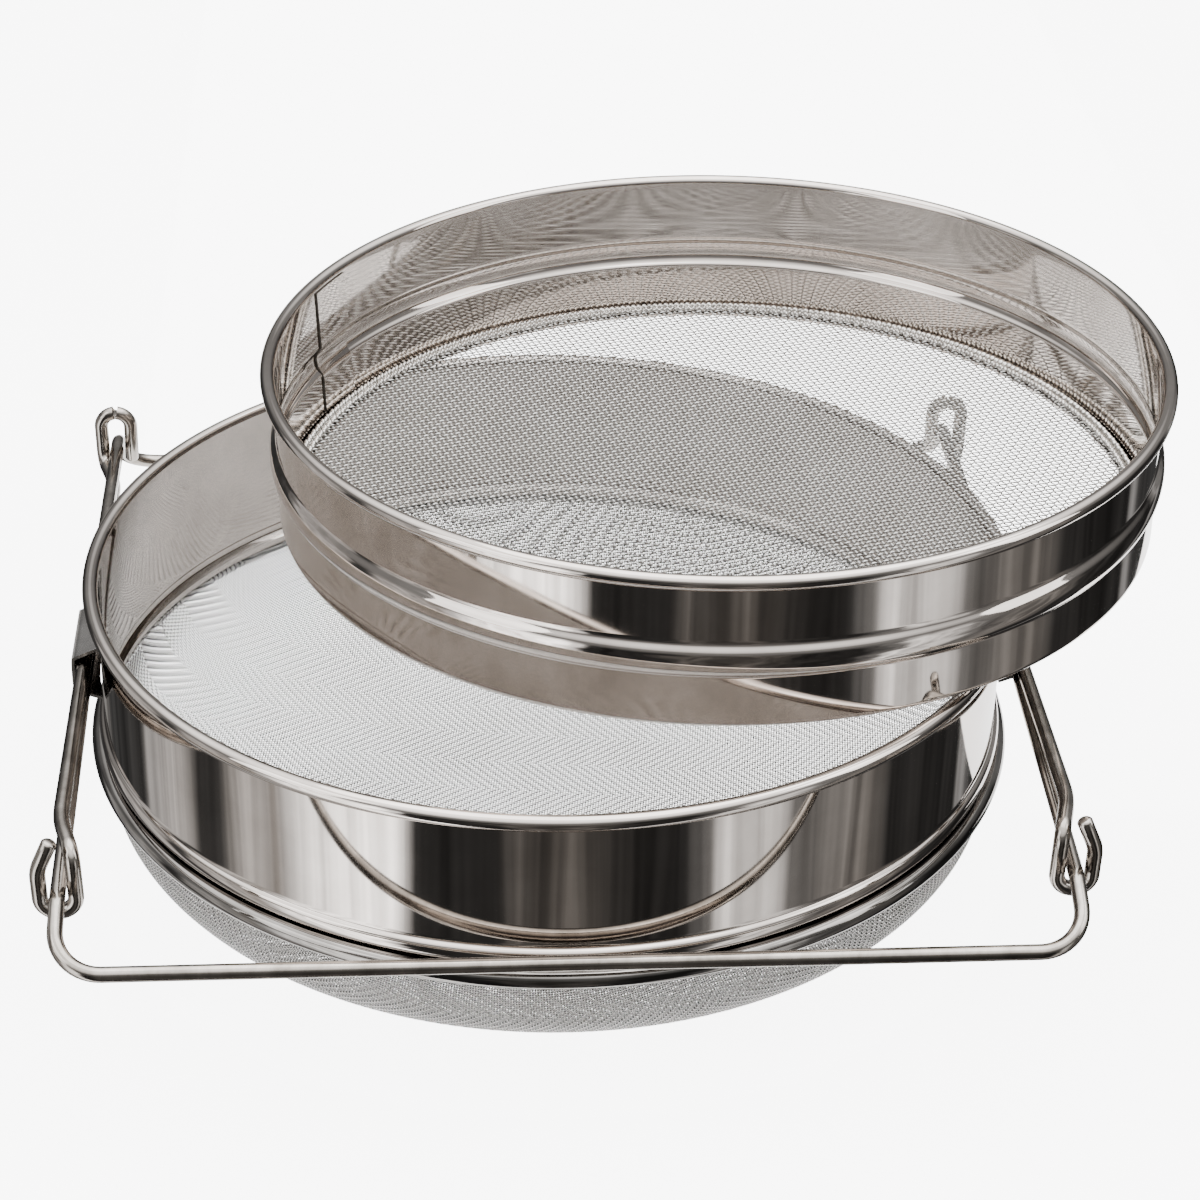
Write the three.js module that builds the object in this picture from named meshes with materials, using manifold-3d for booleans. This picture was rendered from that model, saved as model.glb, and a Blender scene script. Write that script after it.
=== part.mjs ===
// Double sieve strainer: a deep fine sieve with a woven bowl, a shallow coarse sieve set on its rim,
// and two sliding wire bails that carry the pair across a pail.
// Millimetres, +Z up, origin on the flat underside of the woven bowl.
import * as THREE from 'three';
import { mergeVertices } from 'three/addons/utils/BufferGeometryUtils.js';
import Module from 'manifold-3d';

// Shared sizes.
const AROUND = 60; // flats around every turned part
const SHEET = 0.6; // wall thickness of both sieves
const GAP = 0.3; // air left between touching pieces

// Deep fine sieve.
const RIM_Z = 81; // height of the rim's roll centre
const WALL_R = 116.5; // middle of the wall sheet
const ROLL_R = 1.7; // middle of the rolled sheet, from the roll's centre
const RIM_WIRE_R = 1.05; // stiffening wire inside the roll
const WALL_DEPTH = 36; // rim centre to the foot bead
const FLANGE_DEPTH = 43.6; // rim centre to the clamped flange
const FLANGE_R = 119;
const CLAMP_R = 117.9; // centre of the clamp ring's half-round section
const CLAMP_SECTION_R = 2.3;
const BOWL_R = 116.75; // middle of the woven bowl at its top
const BOWL_TOP = 44.5; // rim centre to the bowl's flange
const BOWL_DEPTH = 36.25; // flange to the flat bottom
const BOWL_POWER = 3.3; // how square the bowl's section is
const BOWL_SHEET = 0.5;
const BOWL_FLAT_R = 46; // flat disc at the bottom

// Shallow coarse sieve, set off to one side on the lower rim.
const UPPER_X = 44.4;
const UPPER_Y = 30;
const UPPER_RIM_Z = RIM_Z + 43.9;
const UPPER_TILT = -0.8; // degrees about Y
const UPPER_WALL_R = 115.4;
const UPPER_ROLL_R = 1.6;
const UPPER_WIRE_R = 0.95;
const UPPER_DEPTH = 40;
const MESH_LIP_R = 110.6; // inner edge of the lips that hold the coarse mesh
const COARSE_SHEET = 0.7;

// Wire bails.
const WIRE_R = 1.9;
const WIRE_SIDES = 8;
const ARM_X = 119.6; // arms run along Y at this distance
const LOW_Z = RIM_Z - 20.4; // front bail's arms
const HIGH_Z = RIM_Z - 16.2; // rear bail's arms
const HOOK_R = 4.2; // centreline radius of the hooks
const HOOK_JOG = 14; // length over which an arm swings out to its hook
const FRONT_SLOPE_Y = -24; // from here forward the front bail's arms slope down
const FRONT_HUMP_Y = -106; // where the front bail steps down
const FRONT_HUMP_Z = RIM_Z - 27.2;
const FRONT_BAR_Y = -122.3;
const FRONT_BAR_Z = RIM_Z - 36.8;
const REAR_HUMP_Y = 104;
const REAR_BAR_Y = 120.3;
const REAR_BAR_Z = RIM_Z - 32.2;
const FRONT_BAIL_HOOK_Y = 98.6;
const FRONT_BAIL_HOOK_TOP = RIM_Z - 4.6;
const FRONT_BAIL_HOOK_END = RIM_Z - 21;
const REAR_BAIL_HOOK_Y = -102.5;
const REAR_BAIL_HOOK_LOW = RIM_Z - 33;
const REAR_BAIL_HOOK_END = RIM_Z - 16;
const HUMP_BEND = 8;
const BAR_BEND = 9;

// Saddle clips that guide the arms.
const CLIP_SHEET = 0.8;
const CLIP_FRONT_Y = -21;
const CLIP_REAR_Y = 3;

const steel = (colour, roughness) => new THREE.MeshStandardMaterial({
  color: colour, roughness, metalness: 1,
});

const point = (r, z) => new THREE.Vector2(r, z);

// Points on a circular arc in the section plane; angles in degrees.
function arc(r, z, radius, from, to, steps) {
  const points = [];
  for (let i = 0; i <= steps; i += 1) {
    const angle = THREE.MathUtils.degToRad(from + (to - from) * i / steps);
    points.push(point(r + radius * Math.cos(angle), z + radius * Math.sin(angle)));
  }
  return points;
}

// Closed outline of a bent sheet, from the middle line of its section.
function sheetOutline(line, thickness) {
  const left = [];
  const right = [];
  const last = line.length - 1;
  for (let i = 0; i <= last; i += 1) {
    const before = line[i].clone().sub(line[Math.max(i - 1, 0)]);
    const after = line[Math.min(i + 1, last)].clone().sub(line[i]);
    const start = i === 0 ? after.clone().normalize() : before.clone().normalize();
    const end = i === last ? start.clone() : after.clone().normalize();
    const along = start.clone().add(end).normalize();
    const reach = thickness / 2 / Math.max(along.dot(start), 0.5);
    const side = point(-along.y, along.x).multiplyScalar(reach);
    left.push(line[i].clone().add(side));
    right.push(line[i].clone().sub(side));
  }
  const outline = left.concat(right.reverse());
  if (THREE.ShapeUtils.area(outline) < 0) {
    outline.reverse();
  }
  return outline;
}

// Turns a section about the vertical axis; a section that starts on the axis is already closed by it.
function turned(outline) {
  const onAxis = outline.some((spot) => spot.x < 1e-9);
  const profile = onAxis ? outline : outline.concat([outline[0].clone()]);
  const geometry = new THREE.LatheGeometry(profile, AROUND);
  geometry.rotateX(Math.PI / 2);
  return geometry;
}

function ringWire(r, z, radius) {
  return turned(arc(r, z, radius, 0, 315, 7));
}

// Moves a turned part from its own rim centre to the coarse sieve's resting place.
function setUpper(geometry) {
  geometry.rotateY(THREE.MathUtils.degToRad(UPPER_TILT));
  geometry.translate(UPPER_X, UPPER_Y, UPPER_RIM_Z);
  return geometry;
}

// A wire's middle line, sampled only at the points given.
class BentWire extends THREE.Curve {
  constructor(points) {
    super();
    this.points = points;
    this.last = points.length - 1;
  }

  getPointAt(u) {
    return this.points[Math.round(u * this.last)].clone();
  }

  getTangentAt(u) {
    const i = Math.round(u * this.last);
    const here = this.points[i];
    const tangent = new THREE.Vector3();
    if (i > 0) {
      tangent.add(here.clone().sub(this.points[i - 1]).normalize());
    }
    if (i < this.last) {
      tangent.add(this.points[i + 1].clone().sub(here).normalize());
    }
    return tangent.normalize();
  }
}

// Rounds each corner of a wire path; every corner is [position, bend radius].
function roundedPath(corners) {
  const points = [corners[0][0]];
  for (let i = 1; i < corners.length - 1; i += 1) {
    const [corner, radius] = corners[i];
    const back = corners[i - 1][0].clone().sub(corner).normalize();
    const ahead = corners[i + 1][0].clone().sub(corner).normalize();
    const half = back.angleTo(ahead) / 2;
    const turn = Math.PI - 2 * half;
    const inward = back.clone().add(ahead).normalize();
    const centre = corner.clone().addScaledVector(inward, radius / Math.sin(half));
    const across = back.clone().sub(ahead).normalize();
    const steps = Math.max(2, Math.ceil(turn / (Math.PI / 7)));
    for (let k = 0; k <= steps; k += 1) {
      const angle = turn * (0.5 - k / steps);
      const spot = centre.clone().addScaledVector(inward, -radius * Math.cos(angle));
      spot.addScaledVector(across, radius * Math.sin(angle));
      const previous = points[points.length - 1];
      if (previous.distanceTo(spot) > 0.05) {
        points.push(spot);
      }
    }
  }
  points.push(corners[corners.length - 1][0]);
  return points;
}

// Adds the mirrored left half to the right half of a bail.
function bothSides(corners) {
  const mirrored = corners.map(([spot, radius]) => [new THREE.Vector3(-spot.x, spot.y, spot.z), radius]);
  return corners.concat(mirrored.reverse());
}

function wire(corners) {
  const path = new BentWire(roundedPath(bothSides(corners)));
  const section = new THREE.Shape(arc(0, 0, WIRE_R, 0, 360 - 360 / WIRE_SIDES, WIRE_SIDES - 1));
  return new THREE.ExtrudeGeometry(section, { steps: path.last, extrudePath: path, bevelEnabled: false });
}

const at = (x, y, z) => new THREE.Vector3(x, y, z);

// Sheet wall of the fine sieve: open rolled rim, plain wall, foot bead and flange.
function lowerWall() {
  const line = arc(WALL_R + ROLL_R, 0, ROLL_R, -60, 180, 7);
  line.push(point(WALL_R, -WALL_DEPTH));
  line.push(point(WALL_R + 1.1, -WALL_DEPTH - 1.4));
  line.push(point(WALL_R + 1.4, -WALL_DEPTH - 2.8));
  line.push(point(WALL_R + 1.1, -WALL_DEPTH - 4.2));
  line.push(point(WALL_R, -WALL_DEPTH - 5.6));
  line.push(point(WALL_R, -FLANGE_DEPTH));
  line.push(point(FLANGE_R, -FLANGE_DEPTH));
  const geometry = turned(sheetOutline(line, SHEET));
  geometry.translate(0, 0, RIM_Z);
  return geometry;
}

// Half-round ring closed over the wall's flange and the bowl's flange.
function clampRing() {
  const middle = -(FLANGE_DEPTH + BOWL_TOP) / 2;
  const line = arc(CLAMP_R, middle, CLAMP_SECTION_R, -90, 90, 6);
  const geometry = turned(sheetOutline(line, SHEET));
  geometry.translate(0, 0, RIM_Z);
  return geometry;
}

// Woven bowl: nearly flat bottom, steep side, and the flange that is clamped.
function fineBowl() {
  const low = -BOWL_TOP - BOWL_DEPTH;
  const line = [point(0, low), point(BOWL_FLAT_R, low)];
  for (const share of [0.95, 0.87, 0.76, 0.6, 0.42, 0.22]) {
    const r = BOWL_R * (1 - share ** BOWL_POWER) ** (1 / BOWL_POWER);
    line.push(point(r, -BOWL_TOP - share * BOWL_DEPTH));
  }
  line.push(point(BOWL_R, -BOWL_TOP), point(FLANGE_R, -BOWL_TOP));
  const geometry = turned(sheetOutline(line, BOWL_SHEET));
  geometry.translate(0, 0, RIM_Z);
  return geometry;
}

// Sheet wall of the coarse sieve: rolled rim, ledge and bead, lower band and a lip turned inward.
function upperWall() {
  const r = UPPER_WALL_R;
  const line = arc(r + UPPER_ROLL_R, 0, UPPER_ROLL_R, -60, 180, 7);
  line.push(point(r, -17.4));
  line.push(point(r + 1.4, -20.3));
  line.push(point(r + 1.8, -22.2));
  line.push(point(r + 1.4, -24.2));
  line.push(point(r, -26));
  line.push(point(r, -UPPER_DEPTH));
  line.push(point(MESH_LIP_R, -UPPER_DEPTH));
  return setUpper(turned(sheetOutline(line, SHEET)));
}

// Flat woven disc lying on the lip.
function coarseMesh() {
  const low = -UPPER_DEPTH + SHEET / 2 + GAP;
  const high = low + COARSE_SHEET;
  const edge = UPPER_WALL_R - SHEET - GAP;
  return setUpper(turned([point(0, low), point(edge, low), point(edge, high), point(0, high)]));
}

// Flat ring that holds the coarse mesh down on the lip.
function meshRing() {
  const low = -UPPER_DEPTH + SHEET / 2 + GAP + COARSE_SHEET + GAP;
  const high = low + SHEET;
  const edge = UPPER_WALL_R - SHEET - GAP;
  return setUpper(turned([point(MESH_LIP_R, low), point(edge, low), point(edge, high), point(MESH_LIP_R, high)]));
}

// Front bail: low arms, crossbar in front, hooks at the back that rise over the other bail's arms.
function frontBail() {
  const x = ARM_X + HOOK_R;
  const inner = ARM_X - HOOK_R;
  return wire([
    [at(inner, FRONT_BAIL_HOOK_Y, FRONT_BAIL_HOOK_END), 0],
    [at(inner, FRONT_BAIL_HOOK_Y, FRONT_BAIL_HOOK_TOP), HOOK_R * 0.999],
    [at(x, FRONT_BAIL_HOOK_Y, FRONT_BAIL_HOOK_TOP), HOOK_R * 0.999],
    [at(x, FRONT_BAIL_HOOK_Y, LOW_Z), 4],
    [at(ARM_X, FRONT_BAIL_HOOK_Y - HOOK_JOG, LOW_Z), HUMP_BEND],
    [at(ARM_X, FRONT_SLOPE_Y, LOW_Z), HUMP_BEND],
    [at(ARM_X, FRONT_HUMP_Y, FRONT_HUMP_Z), HUMP_BEND],
    [at(ARM_X, FRONT_BAR_Y, FRONT_BAR_Z), BAR_BEND],
  ]);
}

// Rear bail: high arms, crossbar at the back, hooks in front that pass under the other bail's arms.
function rearBail() {
  const x = ARM_X - HOOK_R;
  const outer = ARM_X + HOOK_R;
  return wire([
    [at(outer, REAR_BAIL_HOOK_Y, REAR_BAIL_HOOK_END), 0],
    [at(outer, REAR_BAIL_HOOK_Y, REAR_BAIL_HOOK_LOW), HOOK_R * 0.999],
    [at(x, REAR_BAIL_HOOK_Y, REAR_BAIL_HOOK_LOW), HOOK_R * 0.999],
    [at(x, REAR_BAIL_HOOK_Y, HIGH_Z), 4],
    [at(ARM_X, REAR_BAIL_HOOK_Y + HOOK_JOG, HIGH_Z), HUMP_BEND],
    [at(ARM_X, REAR_HUMP_Y, HIGH_Z), HUMP_BEND],
    [at(ARM_X, REAR_BAR_Y, REAR_BAR_Z), BAR_BEND],
  ]);
}

const wasm = await Module();
wasm.setup();

function toManifold(geometry) {
  const bare = geometry.clone();
  bare.deleteAttribute('normal');
  bare.deleteAttribute('uv');
  const merged = mergeVertices(bare, 1e-4);
  const triangles = merged.index ? merged.index.array : merged.getIndex().array;
  return new wasm.Manifold(new wasm.Mesh({
    numProp: 3,
    vertProperties: new Float32Array(merged.attributes.position.array),
    triVerts: new Uint32Array(triangles),
  }));
}

function toGeometry(solid) {
  const mesh = solid.getMesh();
  const geometry = new THREE.BufferGeometry();
  geometry.setAttribute('position', new THREE.BufferAttribute(new Float32Array(mesh.vertProperties), 3));
  geometry.setIndex(new THREE.BufferAttribute(new Uint32Array(mesh.triVerts), 1));
  geometry.computeVertexNormals();
  return geometry;
}

// Saddle clip over both arms, its feet shaped to the wall; side is 1 for right, -1 for left.
function clip(side) {
  const plate = ARM_X + WIRE_R + GAP + CLIP_SHEET / 2;
  const top = HIGH_Z + WIRE_R + GAP + CLIP_SHEET / 2;
  const foot = LOW_Z - WIRE_R - GAP - CLIP_SHEET / 2;
  const line = [
    point(plate - 9, top + 3.6),
    point(plate - 2.4, top + 0.9),
    point(plate - 0.5, top - 0.1),
    point(plate, top - 0.9),
    point(plate, foot + 0.9),
    point(plate - 0.5, foot + 0.1),
    point(plate - 2.4, foot - 0.9),
    point(plate - 9, foot - 3.2),
  ];
  const section = new THREE.Shape(sheetOutline(line, CLIP_SHEET));
  const bar = new THREE.ExtrudeGeometry(section, { depth: CLIP_REAR_Y - CLIP_FRONT_Y, bevelEnabled: false });
  bar.rotateX(Math.PI / 2);
  bar.translate(0, CLIP_REAR_Y, 0);
  if (side < 0) {
    bar.rotateZ(Math.PI);
    bar.translate(0, CLIP_FRONT_Y + CLIP_REAR_Y, 0);
  }
  const clear = WALL_R + SHEET / 2 + GAP;
  const core = new THREE.CylinderGeometry(clear, clear, 60, AROUND * 2);
  core.rotateX(Math.PI / 2);
  core.translate(0, 0, HIGH_Z);
  return toGeometry(toManifold(bar).subtract(toManifold(core)));
}

const strainer = new THREE.Group();
strainer.name = 'double_sieve_strainer';

function add(name, geometry, material) {
  const mesh = new THREE.Mesh(geometry, material);
  mesh.name = name;
  strainer.add(mesh);
}

add('lower_wall', lowerWall(), steel(0xc2c0bc, 0.16));
add('lower_rim_wire', ringWire(WALL_R + ROLL_R, RIM_Z, RIM_WIRE_R), steel(0x9c9892, 0.4));
add('lower_clamp_ring', clampRing(), steel(0xa9a7a3, 0.34));
add('fine_mesh_bowl', fineBowl(), steel(0x96938e, 0.5));
add('left_arm_clip', clip(-1), steel(0xb8b6b2, 0.22));
add('right_arm_clip', clip(1), steel(0xb8b6b2, 0.22));
add('upper_wall', upperWall(), steel(0xc6c4c0, 0.14));
add('upper_rim_wire', setUpper(ringWire(UPPER_WALL_R + UPPER_ROLL_R, 0, UPPER_WIRE_R)), steel(0x9c9892, 0.4));
add('coarse_mesh', coarseMesh(), steel(0xa5a29c, 0.42));
add('coarse_mesh_ring', meshRing(), steel(0xb0aeaa, 0.3));
add('front_bail', frontBail(), steel(0xb3aea6, 0.24));
add('rear_bail', rearBail(), steel(0xb3aea6, 0.24));

export default strainer;
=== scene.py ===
"""Double sieve strainer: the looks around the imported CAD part. Metres, +Z up.

Shapes are worked out in millimetres, with heights from their own sieve's rim centre, and become metres
when their meshes are made.
"""
import math

import bpy
import numpy as np
from mathutils import Matrix, Vector

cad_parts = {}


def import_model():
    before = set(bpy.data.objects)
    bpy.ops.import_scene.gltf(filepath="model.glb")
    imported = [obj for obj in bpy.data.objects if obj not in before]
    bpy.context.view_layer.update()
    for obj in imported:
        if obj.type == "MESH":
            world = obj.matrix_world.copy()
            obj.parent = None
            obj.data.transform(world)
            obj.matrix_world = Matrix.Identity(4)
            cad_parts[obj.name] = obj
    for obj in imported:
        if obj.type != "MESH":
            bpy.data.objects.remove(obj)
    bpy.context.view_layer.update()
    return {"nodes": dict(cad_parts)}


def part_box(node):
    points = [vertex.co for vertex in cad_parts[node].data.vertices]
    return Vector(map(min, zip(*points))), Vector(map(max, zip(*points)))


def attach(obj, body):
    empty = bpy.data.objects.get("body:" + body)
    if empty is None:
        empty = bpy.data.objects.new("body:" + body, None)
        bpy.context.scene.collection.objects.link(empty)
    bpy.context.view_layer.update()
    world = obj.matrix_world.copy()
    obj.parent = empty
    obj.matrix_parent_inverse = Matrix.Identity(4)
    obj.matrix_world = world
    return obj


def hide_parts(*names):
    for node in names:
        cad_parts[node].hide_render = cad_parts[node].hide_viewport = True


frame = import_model()

MM = 0.001


def middle(node):
    """Centre of a CAD node's box, in millimetres."""
    low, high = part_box(node)
    return np.round((np.array(low) + np.array(high)) / 2 / MM, 2)


# ---------------------------------------------------------------- dimensions, in millimetres and degrees

LOWER_ORIGIN = middle("lower_rim_wire")  # rim centre of the fine sieve
UPPER_ORIGIN = middle("upper_rim_wire")  # and of the coarse sieve, which rests askew on it
UPPER_TILT = -0.8
AROUND = 288  # flats around every turned piece

# Walls: the middle of the sheet, the rolls at their rims, and their beads as (how far out, height).
SHEET = 0.6
LOWER_R, LOWER_ROLL = 116.5, 1.7
UPPER_R, UPPER_ROLL = 115.4, 1.6
FOOT_BEAD = [
    (0, -35.8), (0.25, -36.5), (1.1, -37.1), (1.5, -38.2), (1.4, -39.6), (0.7, -40.7), (0, -41.5),
]
UPPER_BEAD = [
    (0, -17.0), (0.3, -17.8), (1.3, -19.2), (1.65, -20.4), (1.8, -21.9),
    (1.6, -23.6), (0.9, -25.0), (0.1, -25.9), (0, -26.8),
]
LIP_R = 110.6  # inner edge of the lip that carries the coarse mesh
FLANGE_R = 119.0  # edge of the wall's and the bowl's flanges, inside the clamp ring
CLAMP_R, CLAMP_Z, CLAMP_ROUND = 117.9, -44.05, 2.3  # centre and radius of the ring's half-round section

# Lap seam: a second layer of sheet just inside the coarse sieve's wall, and its own shallower bead.
SEAM_R, SEAM_SHEET = 114.85, 0.46
SEAM_BEAD = [
    (0, -17.2), (0.5, -18.2), (1.35, -19.4), (1.75, -20.9),
    (1.7, -22.6), (1.3, -24.2), (0.4, -25.7), (0, -26.8),
]
SEAM_START, SEAM_END, SEAM_LEAN = 148.5, 156.3, 1.4

# Coarse cloth and its crimped edge.
COARSE_REACH, COARSE_Z = 113.4, -39.05
COARSE_PITCH, COARSE_WIRE, COARSE_TURN = 1.72, 0.23, 18.0
PINCHES = 440  # wire ends crimped down around the cloth

# Fine cloth: a bowl on a superellipse, with the corner where it turns out to its flange.
BOWL_TOP, BOWL_DEPTH, BOWL_R, BOWL_POWER = -44.5, 36.25, 116.75, 3.3
FINE_PITCH, FINE_WIRE, FINE_TURN = 0.72, 0.165, 82.8
FINE_FLAT = 1.3  # the fine cloth is rolled, so its wires are wider than they are thick
FINE_PARTS = 4  # pieces that each direction of its wires is split into
BAND = 19  # wires in each band of the herringbone
TWILL = 4  # a wire passes over one and under three of the others
RISE = 0.98  # how far a wire rises at a crossing, in its radius, so that crossing wires just touch

# Wire bails: their arms run along Y at this distance, the front bail's below the rear bail's.
BAIL_WIRE = 1.9
ARM_X = 119.6
LOW, HIGH = -20.4, -16.2
HOOK = 4.2  # radius of a hook's loop
LOOP_BEND = HOOK * 0.999  # bend radius there: two bends make a half circle and still don't overlap
JOG = 14  # length over which an arm steps aside to its hook
BEND_STEP = 7  # degrees between the points of a bend
NEAR = 0.02  # points nearer to each other than this are one

# Saddle clips.
CLIP_SHEET = 0.8
CLIP_FROM, CLIP_TO = -21, 3
CLIP_WALL_R = 117.2  # where their feet meet the wall
CLIP_GAP = 0.3  # between the plate and the arms

# ---------------------------------------------------------------- light

FLOOR_GLOW = 6.5
MIRROR_GLOW = 2.1
WHITE = 1.6
BACKDROP = 8.0  # as bright as the lit table, so that no horizon shows
BRIGHTEST = 7.0  # what the room's tones are divided by, to fit in a colour ramp
PANELS = 70.0  # how finely the room is streaked
CEILING = [(0.0, 0.3), (0.45, 0.35), (0.7, 2.5), (0.9, 4.0)]  # height of direction, brightness

# The room as the steel mirrors it: compass angle from the front, brightness, warmth.
ROOM = [
    (-180, 0.5, 0.1), (-152, 0.06, 0.0), (-130, 0.08, 0.0), (-122, 0.9, 0.02), (-106, 1.0, 0.04),
    (-100, 0.07, 0.0), (-95, 0.1, 0.0), (-90, 0.9, 0.05), (-79, 1.0, 0.05), (-75, 0.4, 0.15),
    (-70, 1.3, 0.0), (-58, 5.0, 0.0), (-42, 5.5, 0.0), (-36, 0.06, 0.0), (-17, 0.04, 0.0),
    (-9, 0.25, 0.08), (-2, 0.08, 0.1), (6, 0.25, 0.1), (14, 0.06, 0.05), (30, 0.04, 0.0),
    (39, 0.3, 0.0), (45, 2.0, 0.0), (56, 1.6, 0.0), (62, 0.25, 0.0), (82, 0.4, 0.08),
    (92, 0.05, 0.0), (124, 0.04, 0.0), (130, 0.5, 0.0), (140, 0.06, 0.0), (160, 0.05, 0.0),
    (180, 0.5, 0.1),
]

# ---------------------------------------------------------------- node trees


class Nodes:
    """A node tree, with short calls for the nodes used here."""

    def __init__(self, tree, coords):
        self.tree = tree
        self.coords = self.add("ShaderNodeTexCoord").outputs[coords]

    def add(self, kind, **values):
        node = self.tree.nodes.new(kind)
        for key, value in values.items():
            setattr(node, key, value)
        return node

    def link(self, out, into):
        self.tree.links.new(out, into)

    def calc(self, operation, a, b=None):
        """A Math node of one or two values, each a number or an output."""
        node = self.add("ShaderNodeMath", operation=operation)
        for socket, value in zip(node.inputs, (a, b)):
            if isinstance(value, (int, float)):
                socket.default_value = value
            elif value is not None:
                self.link(value, socket)
        return node.outputs[0]

    def stretched(self, scale):
        """Coordinates times a scale per axis."""
        mapping = self.add("ShaderNodeMapping")
        mapping.inputs["Scale"].default_value = scale
        self.link(self.coords, mapping.inputs["Vector"])
        return mapping.outputs["Vector"]

    def noise(self, scale, detail=3.0, roughness=0.5, stretch=(1, 1, 1), vector=None):
        node = self.add("ShaderNodeTexNoise")
        node.inputs["Scale"].default_value = scale
        node.inputs["Detail"].default_value = detail
        node.inputs["Roughness"].default_value = roughness
        self.link(vector or self.stretched(stretch), node.inputs["Vector"])
        return node.outputs["Fac"]

    def span(self, value, low, high, start=0.3, end=0.7):
        """The value, which runs from start to end, mapped to low to high."""
        node = self.add("ShaderNodeMapRange")
        node.inputs["From Min"].default_value = start
        node.inputs["From Max"].default_value = end
        node.inputs["To Min"].default_value = low
        node.inputs["To Max"].default_value = high
        self.link(value, node.inputs["Value"])
        return node.outputs["Result"]

    def ramp(self, value, stops):
        node = self.add("ShaderNodeValToRGB")
        elements = node.color_ramp.elements
        while len(elements) < len(stops):
            elements.new(0.5)
        for element, (position, colour) in zip(elements, stops):
            element.position = position
            element.color = (*colour, 1)
        self.link(value, node.inputs["Fac"])
        return node.outputs["Color"]

    def mix(self, factor, a, b, blend_type="MIX"):
        """Colour a, or b where the factor is 1; each is an output or a colour."""
        node = self.add("ShaderNodeMix", data_type="RGBA", blend_type=blend_type)
        for key, value in (("Factor", factor), ("A", a), ("B", b)):
            if isinstance(value, float):
                node.inputs[key].default_value = value
            elif isinstance(value, tuple):
                node.inputs[key].default_value = (*value, 1)
            else:
                self.link(value, node.inputs[key])
        return node.outputs["Result"]

    def bump(self, height, strength, distance, normal=None):
        node = self.add("ShaderNodeBump")
        node.inputs["Strength"].default_value = strength
        node.inputs["Distance"].default_value = distance
        self.link(height, node.inputs["Height"])
        if normal is not None:
            self.link(normal, node.inputs["Normal"])
        return node.outputs["Normal"]


def new_material(name):
    """A material, its nodes and its shader's inputs."""
    material = bpy.data.materials.new(name)
    material.use_nodes = True
    nodes = Nodes(material.node_tree, "Object")
    return material, nodes, nodes.tree.nodes["Principled BSDF"].inputs


# ---------------------------------------------------------------- materials


def steel(name, dark, light, rough, wave=0.25, spots=40.0):
    """Polished or satin stainless steel: cloudy tone, uneven gloss, slight waviness and a fine grain."""
    material, m, shader = new_material(name)
    shader["Metallic"].default_value = 1.0
    cloud = m.noise(spots, detail=4.0, roughness=0.6)
    m.link(m.ramp(cloud, [(0.3, dark), (0.7, light)]), shader["Base Color"])
    smear = m.noise(90.0, detail=5.0, roughness=0.65, stretch=(1, 1, 0.35))
    m.link(m.span(smear, *rough), shader["Roughness"])
    swell = m.noise(26.0, detail=1.0, roughness=0.4, stretch=(1, 1, 0.6))
    grain = m.noise(2600.0, detail=2.0, roughness=0.6, stretch=(1, 1, 0.15))
    wavy = m.bump(swell, strength=wave, distance=0.0006)
    m.link(m.bump(grain, strength=0.012, distance=0.00004, normal=wavy), shader["Normal"])
    return material


def cloth(name, upper, under, flank_shade, rough, metallic):
    """Woven wire, with its light and shade painted into its colour. Each point of a wire carries three
    values: its place along the wire in crossings, how high the wire runs there (-1 to 1), and its place
    round the wire, from under (-1) to upper side (1).
    upper: colour stops from a low wire to a high one, the painted light and shade of the upper side;
    under: from between crossings to a crossing, painted shade under the wire; the third colour is painted
    shade on the wire's sides."""
    material, m, shader = new_material(name)
    shader["Metallic"].default_value = metallic
    split = m.add("ShaderNodeSeparateXYZ")
    m.link(m.add("ShaderNodeAttribute", attribute_name="woven").outputs["Vector"], split.inputs[0])
    along, level, side = split.outputs
    # Painted light and shade on the upper side, by how high the wire runs.
    top = m.ramp(m.span(level, 0, 1, -1, 1), upper)
    dots = m.calc("COSINE", m.calc("MULTIPLY", along, 2 * math.pi))
    # Painted shade under the wire, by its place between crossings.
    bottom = m.ramp(m.span(dots, 0, 1, -1, 1), under)
    # Round the wire: painted shade on its sides, the under colours below them and the upper colours on
    # top.
    below = m.mix(m.span(side, 1, 0, -0.7, -0.15), flank_shade, bottom)
    wire = m.mix(m.span(side, 0, 1, -0.2, 0.1), below, top)
    stains = m.noise(45.0, detail=4.0, roughness=0.6)
    stain = m.ramp(stains, [(0.3, (0.86, 0.85, 0.83)), (0.6, (1, 1, 1))])
    m.link(m.mix(1.0, wire, stain, blend_type="MULTIPLY"), shader["Base Color"])
    m.link(m.span(m.noise(300.0), *rough), shader["Roughness"])
    return material


WALL = steel("polished_wall", (0.475, 0.43, 0.395), (0.6, 0.55, 0.51), rough=(0.03, 0.075))
RING = steel("polished_ring", (0.16, 0.15, 0.14), (0.31, 0.295, 0.28), rough=(0.05, 0.11), wave=0.15)
WIRE = steel("bail_wire", (0.21, 0.19, 0.168), (0.42, 0.385, 0.35), (0.1, 0.2), wave=0.1, spots=120.0)
CLIP = steel("clip_sheet", (0.40, 0.38, 0.36), (0.58, 0.56, 0.54), rough=(0.16, 0.28), wave=0.2)
# The lap seam's cut edges: painted shade, near black, for the seam's shadow line.
SEAM = steel("lap_edge_shade", (0.05, 0.045, 0.04), (0.12, 0.11, 0.1), rough=(0.3, 0.5), wave=0.0, spots=300.0)
CRIMP = steel("crimped_edge", (0.3, 0.285, 0.265), (0.7, 0.68, 0.65), (0.12, 0.25), wave=0.0, spots=500.0)
HIDDEN = steel("rim_wire", (0.40, 0.39, 0.37), (0.55, 0.54, 0.52), rough=(0.3, 0.45), wave=0.0)

# Tones that paint light and shade on the woven wire: the darkest are painted shade in its dips, where
# wires cross, on its sides and under it; MIDDLE is the less shaded underside between crossings; the
# palest is a painted highlight on the crests.
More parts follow.
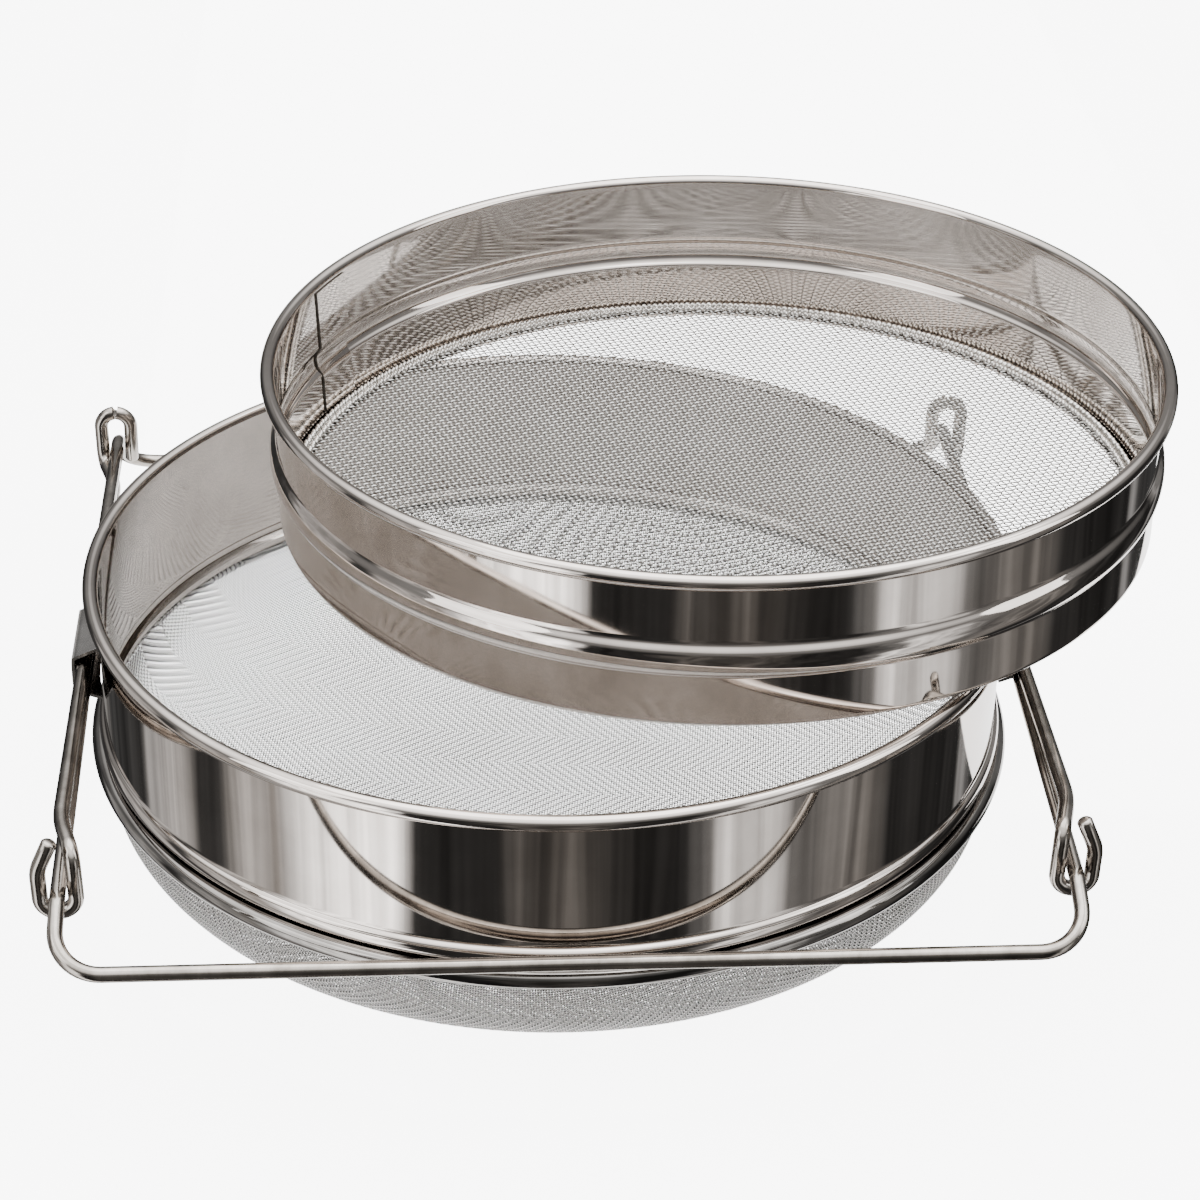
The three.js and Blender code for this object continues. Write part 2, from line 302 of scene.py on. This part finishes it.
DEEP_SHADE = (0.012, 0.011, 0.01)
SHADE = (0.04, 0.035, 0.03)
DIM = (0.08, 0.07, 0.06)
FLANK_SHADE = (0.04, 0.038, 0.035)
MIDDLE = (0.6, 0.58, 0.56)
CREST_HIGHLIGHT = (0.97, 0.965, 0.95)
# Coarse wire: painted shade where it dips, a painted highlight on its crests, painted shade on its sides
# and under it.
COARSE = cloth(
    "coarse_woven_wire",
    upper=[(0.2, (0.2, 0.185, 0.17)), (0.52, SHADE), (0.8, CREST_HIGHLIGHT)],
    under=[(0.25, DIM), (0.6, SHADE)],
    flank_shade=DIM, rough=(0.25, 0.4), metallic=0.4,
)
# Fine wires: the warp's crests are painted dark and the weft's painted pale, a painted shaded and lit
# pair of one wire, with painted shade in the weft's dips, where wires cross underneath and on the sides.
FINE_WARP = cloth(
    "fine_warp_wire",
    upper=[(0.3, (0.6, 0.6, 0.6)), (0.8, (0.16, 0.16, 0.16))],
    under=[(0.12, MIDDLE), (0.3, DEEP_SHADE)],
    flank_shade=FLANK_SHADE, rough=(0.25, 0.4), metallic=0.5,
)
FINE_WEFT = cloth(
    "fine_weft_wire",
    upper=[(0.08, DEEP_SHADE), (0.33, CREST_HIGHLIGHT)],
    under=[(0.12, MIDDLE), (0.3, DEEP_SHADE)],
    flank_shade=FLANK_SHADE, rough=(0.3, 0.45), metallic=0.35,
)

# ---------------------------------------------------------------- outlines and meshes


def arc(r, z, radius, start, end, steps):
    angles = np.radians(np.linspace(start, end, steps + 1))
    return [(r + radius * math.cos(a), z + radius * math.sin(a)) for a in angles]


def upright(r, top, bottom, count):
    return [(r, z) for z in np.linspace(top, bottom, count)]


def eased(points, per):
    """A smooth curve through the points, with this many steps between two of them."""
    p = np.array([points[0], *points, points[-1]], float)
    t = (np.arange(per) / per)[:, None]
    out = []
    for a, b, c, d in zip(p, p[1:], p[2:], p[3:]):
        bend = (2 * a - 5 * b + 4 * c - d) * t**2 + (3 * b - a - 3 * c + d) * t**3
        out.extend(0.5 * (2 * b + (c - a) * t + bend))
    return [tuple(q) for q in (*out, p[-1])]


def bead(r, points, per=4):
    return eased([(r + out, z) for out, z in points], per)


def sheet(line, thickness):
    """Closed outline of a bent sheet from its middle line."""
    p = np.array(line, float)
    step = np.diff(p, axis=0)
    step /= np.linalg.norm(step, axis=1)[:, None]
    start = np.vstack([step[:1], step])
    along = start + np.vstack([step, step[-1:]])
    along /= np.linalg.norm(along, axis=1)[:, None]
    reach = thickness / 2 / np.maximum((along * start).sum(1), 0.5)  # longer at a corner, at most twice
    side = np.stack([-along[:, 1], along[:, 0]], 1) * reach[:, None]
    return np.vstack([p + side, (p - side)[::-1]])


def ring_faces(rings, sides, closed=False):
    """Quads between successive rings of points, and from the last ring back to the first where closed."""
    ring = np.arange(rings if closed else rings - 1)[:, None]
    here = ring * sides
    there = (ring + 1) % rings * sides
    side = np.arange(sides)[None, :]
    after = (side + 1) % sides
    return np.stack([here + side, here + after, there + after, there + side], 2).reshape(-1, 4)


def caps(rings, sides):
    """The two ends of a body made of rings."""
    return [list(reversed(range(sides))), list(range((rings - 1) * sides, rings * sides))]


def tube_faces(rings, sides):
    return ring_faces(rings, sides).tolist() + caps(rings, sides)


def flipped(faces):
    return [face[::-1] for face in faces]


def lathe(outline, start=0.0, end=360.0, steps=AROUND):
    """Vertices and faces of an outline turned about Z, the whole way or with a cap at each end, last."""
    r, z = np.asarray(outline, float).T
    if (r * np.roll(z, -1) - np.roll(r, -1) * z).sum() < 0:
        r, z = r[::-1], z[::-1]
    whole = end - start >= 360
    count = steps if whole else steps + 1
    angles = np.radians(start + (end - start) * np.arange(count) / steps)
    x, y = np.outer(np.cos(angles), r), np.outer(np.sin(angles), r)
    vertices = np.stack([x, y, np.tile(z, (count, 1))], 2).reshape(-1, 3)
    faces = ring_faces(count, len(r), whole)[:, [0, 3, 2, 1]].tolist()
    if not whole:
        faces += flipped(caps(count, len(r)))
    return vertices, faces


def place(name, mesh, body, stands_for=(), slot=None):
    """An object of the mesh, riding on its body and taking the place of CAD nodes."""
    piece = bpy.data.objects.new(name, mesh)
    bpy.context.scene.collection.objects.link(piece)
    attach(piece, body)
    if stands_for:
        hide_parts(*stands_for)
    slot or stands_for[0]
    return piece


def make(name, vertices, faces, material, body, stands_for=(), slot=None, sharp=35):
    mesh = bpy.data.meshes.new(name)
    mesh.from_pydata([tuple(v) for v in vertices * MM], [], faces)
    mesh.update()
    mesh.materials.append(material)
    mesh.shade_smooth()
    mesh.set_sharp_from_angle(angle=math.radians(sharp))
    return place(name, mesh, body, stands_for, slot)


def turned(x, y, angle):
    """Points of a plane turned by an angle in radians."""
    c, s = np.cos(angle), np.sin(angle)
    return x * c - y * s, x * s + y * c


def set_lower(points):
    """From the fine sieve's own rim centre to where it stands."""
    return points + LOWER_ORIGIN


def tilted(points):
    """Points or directions tilted with the coarse sieve."""
    z, x = turned(points[:, 2], points[:, 0], math.radians(UPPER_TILT))
    return np.column_stack([x, points[:, 1], z])


def set_upper(points):
    """From the coarse sieve's own rim centre to where it rests."""
    return tilted(points) + UPPER_ORIGIN


# ---------------------------------------------------------------- walls, clamp ring, seam and crimp


def rolled_rim(wall, radius):
    """The rim's roll, from its free edge outside, over the top, to the wall."""
    return arc(wall + radius, 0, radius, -60, 180, 26)


def lower_wall():
    """Rolled rim, straight wall, foot bead, and the flange that the ring holds."""
    bend = 1.0
    line = rolled_rim(LOWER_R, LOWER_ROLL)
    line += upright(LOWER_R, -1.5, -35, 9)
    line += bead(LOWER_R, FOOT_BEAD)
    line += arc(LOWER_R + bend, -42.6, bend, 180, 270, 5)
    line += [(FLANGE_R, -42.6 - bend)]
    vertices, faces = lathe(sheet(line, SHEET))
    make("fine_sieve_wall", set_lower(vertices), faces, WALL, "lower_sieve", ["lower_wall"])


def clamp_ring():
    vertices, faces = lathe(sheet(arc(CLAMP_R, CLAMP_Z, CLAMP_ROUND, -90, 90, 18), SHEET))
    make("mesh_clamp_ring", set_lower(vertices), faces, RING, "lower_sieve", ["lower_clamp_ring"])


def upper_wall():
    """Rolled rim, bead, lower band, and the lip that carries the mesh."""
    bend = 1.2
    line = rolled_rim(UPPER_R, UPPER_ROLL)
    line += upright(UPPER_R, -1.5, -16.2, 6)
    line += bead(UPPER_R, UPPER_BEAD)
    line += upright(UPPER_R, -28, -38.4, 5)
    line += arc(UPPER_R - bend, -38.8, bend, 0, -90, 6)
    line += [(LIP_R, -38.8 - bend)]
    vertices, faces = lathe(sheet(line, SHEET))
    make("coarse_sieve_wall", set_upper(vertices), faces, WALL, "upper_sieve", ["upper_wall"])


def coarse_crimp():
    """The coarse mesh's cut edge, crimped down on the lip: two rope-like rows of pinched wire ends."""
    per_pinch = 6
    steps = PINCHES * per_pinch
    angle = 2 * math.pi * np.arange(steps) / steps
    rows = []
    inner = 111.6
    for centre, height, thick, slant in ((inner, -38.45, 0.62, 0.9), (113.5, -38.3, 0.7, 2.6)):
        for r, z in arc(centre, height, thick, 200, -20, 8):
            pinch = 0.32 * np.sin(PINCHES * angle + slant * (r - inner))
            sway = 0.12 * np.sin(PINCHES * angle * 0.5)
            rows.append((r + sway, z + pinch))
    for r, z in ((114.5, -38.7), (112.6, -38.85), (110.9, -38.8)):
        rows.append((np.full(steps, r), np.full(steps, z)))
    rings = [np.column_stack([r * np.cos(angle), r * np.sin(angle), z]) for r, z in rows]
    vertices = np.stack(rings, 1).reshape(-1, 3)
    faces = ring_faces(steps, len(rows), closed=True).tolist()
    vertices = set_upper(vertices)
    make("coarse_mesh_crimp", vertices, faces, CRIMP, "upper_sieve", ["coarse_mesh_ring"], sharp=80)


def lap_seam():
    """Where the coarse sieve's sheet laps over itself, on the inside, its cut edges painted near black as
    the seam's shadow line.
    """
    line = upright(SEAM_R, -0.6, -16.2, 4)
    line += bead(SEAM_R, SEAM_BEAD, 3)
    line += upright(SEAM_R, -28, -37.6, 3)
    vertices, faces = lathe(sheet(line, SEAM_SHEET), SEAM_START, SEAM_END, 12)
    x, y, z = vertices.T
    height = 37.0  # of the seam, over which it leans
    x, y = turned(x, y, np.radians(SEAM_LEAN) * z / height)
    vertices = set_upper(np.column_stack([x, y, z]))
    piece = make("coarse_sieve_seam", vertices, faces, WALL, "upper_sieve", slot="upper_wall")
    piece.data.materials.append(SEAM)
    # The two cut edge faces take the dark lap edge material: painted shade along the seam.
    for cut_edge in piece.data.polygons[-2:]:
        cut_edge.material_index = 1


# ---------------------------------------------------------------- woven wire cloth


def strands(reach, pitch, over):
    """Each wire of one direction: its offset, and where it runs highest (1) or lowest (-1)."""
    count = int(reach / pitch)
    crossings = np.arange(-count, count + 1)
    for k in crossings:
        offset = k * pitch
        half = math.sqrt(max(reach * reach - offset * offset, 0))
        if half < 2 * pitch:
            continue
        inside = crossings[np.abs(crossings * pitch) <= half]
        height = over(k, inside)
        edges = np.flatnonzero(np.diff(height)) + 1
        starts = np.concatenate([[0], edges])
        ends = np.concatenate([edges, [len(inside)]]) - 1
        centres = (inside[starts] + inside[ends]) / 2 * pitch
        level = height[starts].astype(float)
        along = np.concatenate([[-half], centres[1:-1], [half]])
        yield offset, along, np.concatenate([[0], level[1:-1], [0]])


def tube_rings(centre, normal, width, radius, angle):
    """A ring of points, at these angles, around each point of a line with its upper side along normal."""
    tangent = np.gradient(centre, axis=0)
    tangent /= np.linalg.norm(tangent, axis=1)[:, None]
    across = np.cross(tangent, normal)
    across /= np.linalg.norm(across, axis=1)[:, None]
    up = np.cross(across, tangent)
    wide = width * np.cos(angle)[None, :, None] * across[:, None]
    return centre[:, None] + wide + radius * np.sin(angle)[None, :, None] * up[:, None]


def wires(direction, rule, reach, pitch, radius, flatness, turn, shape, sides):
    """Every wire of one direction: its rings of points, and the values that the cloth material reads."""
    angle = math.pi / 2 + 2 * np.pi * np.arange(sides) / sides
    for offset, along, level in strands(reach, pitch, rule):
        x, y = np.full_like(along, offset), along
        if direction == "weft":
            x, y = y, x
        flat = np.column_stack(turned(x, y, math.radians(turn)))
        centre, normal = shape(flat, level * radius * RISE)
        rings = tube_rings(centre, normal, radius * flatness, radius, angle)
        values = np.broadcast_arrays((along / pitch)[:, None], level[:, None], np.sin(angle)[None, :])
        yield rings, np.stack(values, 2)


def cloth_mesh(name, tubes, sides, material):
    """One mesh of many wires; their ends are open, and lie inside the crimp or the clamp ring."""
    faces = []
    base = 0
    for rings, _ in tubes:
        faces.append(ring_faces(len(rings), sides) + base)
        base += len(rings) * sides
    faces = np.concatenate(faces)
    vertices = np.concatenate([rings.reshape(-1, 3) for rings, _ in tubes])
    values = np.concatenate([woven.reshape(-1, 3) for _, woven in tubes])
    mesh = bpy.data.meshes.new(name)
    mesh.vertices.add(len(vertices))
    mesh.vertices.foreach_set("co", (vertices * MM).ravel())
    mesh.loops.add(faces.size)
    mesh.loops.foreach_set("vertex_index", faces.ravel())
    mesh.polygons.add(len(faces))
    mesh.polygons.foreach_set("loop_start", np.arange(len(faces)) * 4)
    mesh.update(calc_edges=True)
    woven = mesh.attributes.new("woven", "FLOAT_VECTOR", "POINT")
    woven.data.foreach_set("vector", values.astype(np.float32).ravel())
    mesh.materials.append(material)
    mesh.shade_smooth()
    return mesh


def weave(name, directions, body, node, parts=1, sides=6, **lay):
    """Cloth of wires, one piece or more for each direction, which is given by its rule and material."""
    for direction, (rule, material) in directions.items():
        tubes = list(wires(direction, rule, sides=sides, **lay))
        for part in range(parts):
            share = tubes[len(tubes) * part // parts : len(tubes) * (part + 1) // parts]
            label = f"{name}_{direction}" + (f"_{part + 1}" if parts > 1 else "")
            place(label, cloth_mesh(name, share, sides, material), body, [node], node)


def plain_over(k, inside):
    return np.where((k + inside) % 2 == 0, 1, -1)


def plain_under(k, inside):
    return -plain_over(k, inside)


def flat_cloth(flat, height):
    centre = np.column_stack([flat, height + COARSE_Z])
    return set_upper(centre), tilted(np.tile([0.0, 0.0, 1.0], (len(flat), 1)))


def coarse_cloth():
    weave(
        "coarse_cloth", {"warp": (plain_over, COARSE), "weft": (plain_under, COARSE)},
        "upper_sieve", "coarse_mesh",
        reach=COARSE_REACH, pitch=COARSE_PITCH, radius=COARSE_WIRE, flatness=1.0,
        turn=COARSE_TURN, shape=flat_cloth,
    )


def bowl_section():
    """The fine bowl, from centre to clamped edge: length along the cloth, points and upward normals."""
    edge = 0.97  # share of the radius where the section begins to turn up steeply
    share = 1 - np.linspace(1, 0, 160) ** 2
    share = np.concatenate([np.linspace(0, edge, 60), share[share > edge]])
    z = BOWL_TOP - BOWL_DEPTH * (1 - share**BOWL_POWER) ** (1 / BOWL_POWER)
    corner = 0.6
    line = np.vstack([
        np.column_stack([BOWL_R * share, z]),
        arc(BOWL_R + corner, -44.95, corner, 180, 90, 5)[1:],
        [(FLANGE_R, -44.35)],
    ])
    step = np.linalg.norm(np.diff(line, axis=0), axis=1)
    line = line[np.concatenate([[True], step > 1e-6])]
    length = np.concatenate([[0], np.cumsum(np.linalg.norm(np.diff(line, axis=0), axis=1))])
    slope = np.gradient(line, axis=0)
    slope /= np.linalg.norm(slope, axis=1)[:, None]
    return length, line, np.column_stack([-slope[:, 1], slope[:, 0]])


def bowl_cloth(section):
    """A rule that lays flat cloth in the bowl by its length from the centre."""
    length, line, inward = section

    def shape(flat, height):
        away = np.hypot(flat[:, 0], flat[:, 1])
        turn = np.arctan2(flat[:, 1], flat[:, 0])
        r, z = (np.interp(away, length, line[:, i]) for i in (0, 1))
        nr, nz = (np.interp(away, length, inward[:, i]) for i in (0, 1))
        normal = np.column_stack([nr * np.cos(turn), nr * np.sin(turn), nz])
        normal /= np.linalg.norm(normal, axis=1)[:, None]
        centre = np.column_stack([r * np.cos(turn), r * np.sin(turn), z])
        return set_lower(centre + normal * height[:, None]), normal

    return shape


def step_of(i):
    """How far the twill has moved over by wire i: up through one band, down through the next."""
    within = np.mod(i, 2 * BAND)
    return np.where(within < BAND, within, 2 * BAND - within)


def twill_over(k, inside):
    return np.where(np.mod(step_of(k) + inside, TWILL) == 0, 1, -1)


def twill_under(k, inside):
    return -np.where(np.mod(step_of(inside) + k, TWILL) == 0, 1, -1)


def fine_cloth():
    section = bowl_section()
    weave(
        "fine_cloth", {"warp": (twill_over, FINE_WARP), "weft": (twill_under, FINE_WEFT)},
        "lower_sieve", "fine_mesh_bowl", parts=FINE_PARTS, sides=4,
        reach=section[0][-1], pitch=FINE_PITCH, radius=FINE_WIRE, flatness=FINE_FLAT,
        turn=FINE_TURN, shape=bowl_cloth(section),
    )


# ---------------------------------------------------------------- wire bails


def rounded(corners):
    """A wire's middle line; each corner is (point, bend radius)."""
    p = [np.array(point, float) for point, _ in corners]
    out = [p[0]]
    for before, here, after, (_, radius) in zip(p, p[1:], p[2:], corners[1:]):
        back = (before - here) / np.linalg.norm(before - here)
        ahead = (after - here) / np.linalg.norm(after - here)
        half = math.acos(max(-1, min(1, float(back @ ahead)))) / 2
        turn = math.pi - 2 * half
        inward = (back + ahead) / np.linalg.norm(back + ahead)
        across = (back - ahead) / np.linalg.norm(back - ahead)
        centre = here + inward * radius / math.sin(half)
        steps = max(4, int(turn / math.radians(BEND_STEP)))
        for k in range(steps + 1):
            a = turn * (0.5 - k / steps)
            spot = centre - inward * radius * math.cos(a) + across * radius * math.sin(a)
            if np.linalg.norm(spot - out[-1]) > NEAR:
                out.append(spot)
    out.append(p[-1])
    return np.array(out)


def swept(path, radius, sides=20):
    """Round wire along a path, with softly rounded ends."""
    step = np.diff(path, axis=0)
    step /= np.linalg.norm(step, axis=1)[:, None]
    tangent = np.vstack([step[:1], step]) + np.vstack([step, step[-1:]])
    tangent /= np.linalg.norm(tangent, axis=1)[:, None]
    side = np.cross(tangent[0], [0.3, 0.2, 1.0])  # square to the start, which never runs that way
    angle = 2 * math.pi * np.arange(sides) / sides
    circles = []
    for t in tangent:
        side = side - t * (side @ t)
        side /= np.linalg.norm(side)
        circle = np.outer(np.cos(angle), side) + np.outer(np.sin(angle), np.cross(t, side))
        circles.append(radius * circle)
    rounding = [(0.0, 0.55), (0.25, 0.82), (0.7, 1.0)]  # distance from the end, share of the radius
    rings = [path[0] + tangent[0] * d + circles[0] * share for d, share in rounding]
    rings += [centre + circle for centre, circle in zip(path[1:-1], circles[1:-1])]
    rings += [path[-1] - tangent[-1] * d + circles[-1] * share for d, share in reversed(rounding)]
    return np.concatenate(rings), tube_faces(len(rings), sides)


def bail(name, half, body, node):
    """A wire bail from its right half, as corners from the free end to the crossbar."""
    left = [((-x, y, z), bend) for (x, y, z), bend in reversed(half)]
    vertices, faces = swept(rounded(half + left), BAIL_WIRE)
    make(name, set_lower(vertices), faces, WIRE, body, [node], sharp=50)


def front_bail():
    hook_y = 98.6
    half = [
        ((ARM_X - HOOK + 0.2, hook_y, -20.0), 0),
        ((ARM_X - HOOK, hook_y, -5.0), LOOP_BEND),
        ((ARM_X + HOOK, hook_y, -5.0), LOOP_BEND),
        ((ARM_X + HOOK - 0.2, hook_y, LOW), 4),
        ((ARM_X, hook_y - JOG, LOW), 36),
        ((ARM_X, -24.0, LOW), 30),
        ((ARM_X, -106.0, -27.2), 9),
        ((ARM_X + 0.4, -122.0, -36.6), 11),
    ]
    bail("front_wire_bail", half, "front_bail", "front_bail")


def rear_bail():
    hook_y = -102.5
    half = [
        ((ARM_X + 0.9, hook_y, -12.8), 0),
        ((ARM_X + HOOK + 0.3, hook_y, -21.0), 9),
        ((ARM_X + HOOK, hook_y, -32.6), HOOK * 0.97),
        ((ARM_X - HOOK, hook_y, -32.6), LOOP_BEND),
        ((ARM_X - HOOK + 0.4, hook_y, HIGH), 4),
        ((ARM_X, hook_y + JOG, HIGH), 36),
        ((ARM_X, 104.0, HIGH), 8),
        ((ARM_X, 120.3, -32.2), 10),
    ]
    bail("rear_wire_bail", half, "rear_bail", "rear_bail")


# ---------------------------------------------------------------- saddle clips


def clip(name, side, node):
    """Pressed saddle over both arms, its feet along the wall; side is 1 on the right, -1 on the left."""
    plate = ARM_X + BAIL_WIRE + CLIP_GAP + CLIP_SHEET / 2
    shoulder = plate - 2.4
    clear = 2.6  # from an arm's centre to the plate above or below it
    top, foot = HIGH + clear, LOW - clear
    round_over = 0.9  # how much further out the plate runs at its shoulders
    upper_slope, lower_slope = 0.42, 0.36  # of the feet, which rise and fall towards the wall
    rings = []
    for y in np.linspace(CLIP_FROM, CLIP_TO, 25):
        wall = math.sqrt(CLIP_WALL_R**2 - y * y)
        upper = top + round_over + (shoulder - wall) * upper_slope
        lower = foot - round_over - (shoulder - wall) * lower_slope
        line = [
            (wall, upper), (shoulder, top + round_over), (plate - 0.6, top + 0.05), (plate, top - 1.0),
            (plate, foot + 1.0), (plate - 0.6, foot - 0.05), (shoulder, foot - round_over), (wall, lower),
        ]
        outline = sheet(eased(line, 4), CLIP_SHEET)
        rings.append(np.column_stack([side * outline[:, 0], np.full(len(outline), y), outline[:, 1]]))
    faces = tube_faces(len(rings), len(rings[0]))
    if side < 0:
        faces = flipped(faces)
    piece = make(name, set_lower(np.concatenate(rings)), faces, CLIP, "lower_sieve", [node])
    edge = piece.modifiers.new("soft_edges", "BEVEL")
    edge.width = 0.18 * MM
    edge.segments = 2
    edge.limit_method = "ANGLE"


def rim_wires():
    """The stiffening wires inside the two rolled rims are the CAD's own."""
    for node in ("lower_rim_wire", "upper_rim_wire"):
        piece = frame["nodes"][node]
        for held in piece.material_slots:
            held.material = HIDDEN
        if not piece.material_slots:
            piece.data.materials.append(HIDDEN)


# ---------------------------------------------------------------- camera, floor, light, in metres


def camera():
    """Looks down on the object from the front; right, up and back are the camera's own axes."""
    data = bpy.data.cameras.new("camera")
    data.sensor_width = 36.0
    data.lens = 92.96
    data.clip_start = 0.01
    rig = bpy.data.objects.new("camera", data)
    bpy.context.scene.collection.objects.link(rig)
    right = (0.99796, -0.06149, 0.01668)
    up = (0.01690, 0.50799, 0.86118)
    back = (-0.06143, -0.85915, 0.50800)
    turn = Matrix((right, up, back)).transposed().to_4x4()
    rig.matrix_world = Matrix.Translation((-0.0369, -0.6951, 0.4807)) @ turn
    bpy.context.scene.camera = rig


def light_table(name, outline, depth, glow, mirrored):
    """A glowing flat plane, which is seen either directly or only in polished steel."""
    material, m, shader = new_material(name)
    shader["Roughness"].default_value = 0.8
    shader["Emission Color"].default_value = (1, 1, 1, 1)
    shader["Emission Strength"].default_value = glow
    pale = m.ramp(m.noise(3.0), [(0.3, (0.86, 0.86, 0.86)), (0.7, (0.88, 0.88, 0.88))])
    m.link(pale, shader["Base Color"])
    mesh = bpy.data.meshes.new(name)
    mesh.from_pydata([(x, y, 0) for x, y in outline], [], [tuple(range(len(outline)))])
    mesh.materials.append(material)
    plane = bpy.data.objects.new(name, mesh)
    plane.location.z = -depth
    plane.visible_camera = not mirrored
    plane.visible_diffuse = not mirrored
    plane.visible_transmission = not mirrored
    plane.visible_shadow = not mirrored
    plane.visible_glossy = mirrored
    bpy.context.scene.collection.objects.link(plane)


def floor():
    """A pale light table. The polished steel mirrors only the part of it under and behind the object."""
    wide, side, far, radius = 3.0, 0.25, 0.7, 0.124
    table = [(-wide, -wide), (wide, -wide), (wide, wide), (-wide, wide)]
    bend = [(radius * math.cos(a), radius * math.sin(a)) for a in np.linspace(math.pi, 2 * math.pi, 49)]
    under_and_behind = bend + [(side, 0.0), (side, far), (-radius, far)]
    light_table("floor", table, 0.0006, FLOOR_GLOW, mirrored=False)
    light_table("floor_in_mirror", under_and_behind, 0.0003, MIRROR_GLOW, mirrored=True)


def softbox(name, at, width, height, watts, aim=(0, 0, 0.05)):
    data = bpy.data.lights.new(name, "AREA")
    data.shape = "RECTANGLE"
    data.size = width
    data.size_y = height
    data.energy = watts
    lamp = bpy.data.objects.new(name, data)
    bpy.context.scene.collection.objects.link(lamp)
    lamp.location = at
    lamp.rotation_euler = (Vector(aim) - Vector(at)).to_track_quat("-Z", "Y").to_euler()


def tone(value, warmth=0.0):
    value /= BRIGHTEST
    return (value, value * (1 - 0.5 * warmth), value * (1 - warmth))


def room(w):
    """What polished steel mirrors: a darker room with upright panels, streaked, and a bright ceiling."""
    split = w.add("ShaderNodeSeparateXYZ")
    w.link(w.coords, split.inputs[0])
    x, y, z = split.outputs
    wobble = w.calc("SUBTRACT", w.noise(3.0, detail=2.0, vector=w.coords), 0.5)
    angle = w.calc("ARCTAN2", x, w.calc("MULTIPLY", y, -1.0))
    straight = w.calc("ADD", w.calc("DIVIDE", angle, 2 * math.pi), 0.5)
    turn = w.calc("ADD", straight, w.calc("MULTIPLY", wobble, 0.06))
    stops = [((degrees + 180) / 360, tone(value, warmth)) for degrees, value, warmth in ROOM]
    panels = w.ramp(turn, stops)
    where = w.add("ShaderNodeCombineXYZ")
    w.link(w.calc("MULTIPLY", turn, PANELS), where.inputs[0])
    w.link(w.calc("MULTIPLY", z, 1.5), where.inputs[1])
    streaks = w.noise(1.0, roughness=0.7, vector=where.outputs[0])
    streaked = w.add("ShaderNodeVectorMath", operation="SCALE")
    w.link(panels, streaked.inputs[0])
    w.link(w.span(streaks, 0.45, 1.25, 0.35, 0.65), streaked.inputs["Scale"])
    ceiling = w.ramp(z, [(height, tone(value)) for height, value in CEILING])
    return w.mix(w.span(z, 0, 1, 0, 0.35), streaked.outputs["Vector"], ceiling)


def world():
    """White all round as light, the room in polished steel, and a bright plain backdrop to the camera."""
    studio = bpy.data.worlds.new("studio")
    bpy.context.scene.world = studio
    studio.use_nodes = True
    w = Nodes(studio.node_tree, "Generated")
    ray = w.add("ShaderNodeLightPath").outputs
    shown = w.tree.nodes["Background"]
    shown.inputs["Color"].default_value = (1, 1, 1, 1)
    shown.inputs["Strength"].default_value = WHITE
    sights = (("Is Glossy Ray", room(w), BRIGHTEST), ("Is Camera Ray", None, BACKDROP))
    for rays, colour, strength in sights:
        background = w.add("ShaderNodeBackground")
        background.inputs["Color"].default_value = (1, 1, 1, 1)
        background.inputs["Strength"].default_value = strength
        if colour is not None:
            w.link(colour, background.inputs["Color"])
        choose = w.add("ShaderNodeMixShader")
        w.link(ray[rays], choose.inputs[0])
        w.link(shown.outputs[0], choose.inputs[1])
        w.link(background.outputs[0], choose.inputs[2])
        shown = choose
    w.link(shown.outputs[0], w.tree.nodes["World Output"].inputs["Surface"])


# ---------------------------------------------------------------- the object and its stage

lower_wall()
clamp_ring()
upper_wall()
coarse_crimp()
lap_seam()
coarse_cloth()
fine_cloth()
front_bail()
rear_bail()
clip("left_saddle_clip", -1, "left_arm_clip")
clip("right_saddle_clip", 1, "right_arm_clip")
rim_wires()

camera()
floor()
world()
softbox("top_box", (0.1, 0.2, 1.3), width=1.2, height=1.2, watts=14, aim=(0, 0, 0))
softbox("left_box", (-1.2, -0.6, 0.8), width=0.7, height=1.0, watts=8)
softbox("right_box", (1.2, -0.3, 0.8), width=0.5, height=1.0, watts=6)
